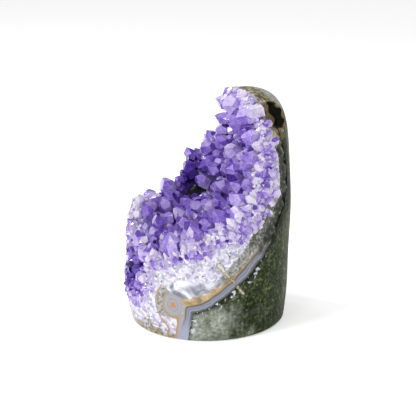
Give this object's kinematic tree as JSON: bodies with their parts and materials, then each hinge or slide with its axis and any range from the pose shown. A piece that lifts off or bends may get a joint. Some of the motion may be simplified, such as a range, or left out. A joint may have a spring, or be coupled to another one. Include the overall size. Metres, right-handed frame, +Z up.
{
  "type": "amethyst geode",
  "caption": "Free-standing cut-base amethyst geode: polished basalt and agate rind with a quartz crust and a hollow lined with purple crystals.",
  "frame": {"origin": "on the sawn base, under the middle of the piece's bounding box", "axes": "+Z up, from the sawn base to the peak; the hollow lined with crystals opens towards -Y, and the tall polished back is at +Y"},
  "size_m": [0.0846, 0.0867, 0.118],
  "materials": {
    "basalt": "dark green-grey basalt with fine pale speckles, sawn, ground and polished to a satin gloss",
    "agate": "banded agate, blue-grey with a tan line and cloudy white patches, polished",
    "quartz": "white to pale lilac sugary quartz, polished where it is cut",
    "amethyst": "clear to deep violet quartz crystals with natural glassy faces"
  },
  "bodies": {
    "root": {"agate_band": "agate", "back_crystal_01": "amethyst", "back_crystal_02": "amethyst", "back_crystal_03": "amethyst", "back_crystal_04": "amethyst", "back_crystal_05": "amethyst", "back_crystal_06": "amethyst", "back_crystal_07": "amethyst", "back_crystal_08": "amethyst", "back_crystal_09": "amethyst", "back_crystal_10": "amethyst", "back_crystal_11": "amethyst", "back_crystal_12": "amethyst", "back_crystal_13": "amethyst", "back_crystal_14": "amethyst", "back_crystal_15": "amethyst", "back_crystal_16": "amethyst", "basalt_body": "basalt", "channel_crystal_01": "amethyst", "channel_crystal_02": "amethyst", "channel_crystal_03": "amethyst", "quartz_crust": "quartz", "seat_crystal_01": "amethyst", "seat_crystal_02": "amethyst", "seat_crystal_03": "amethyst", "seat_crystal_04": "amethyst", "seat_crystal_05": "amethyst", "seat_crystal_06": "amethyst", "seat_crystal_07": "amethyst", "seat_crystal_08": "amethyst", "seat_crystal_09": "amethyst", "seat_crystal_10": "amethyst", "seat_crystal_11": "amethyst", "seat_crystal_12": "amethyst", "seat_crystal_13": "amethyst", "shelf_crystal_01": "amethyst", "shelf_crystal_02": "amethyst", "shelf_crystal_03": "amethyst", "shelf_crystal_04": "amethyst", "shelf_crystal_05": "amethyst", "side_crystal_01": "amethyst", "side_crystal_02": "amethyst", "side_crystal_03": "amethyst", "side_crystal_04": "amethyst"}
  },
  "joints": []
}
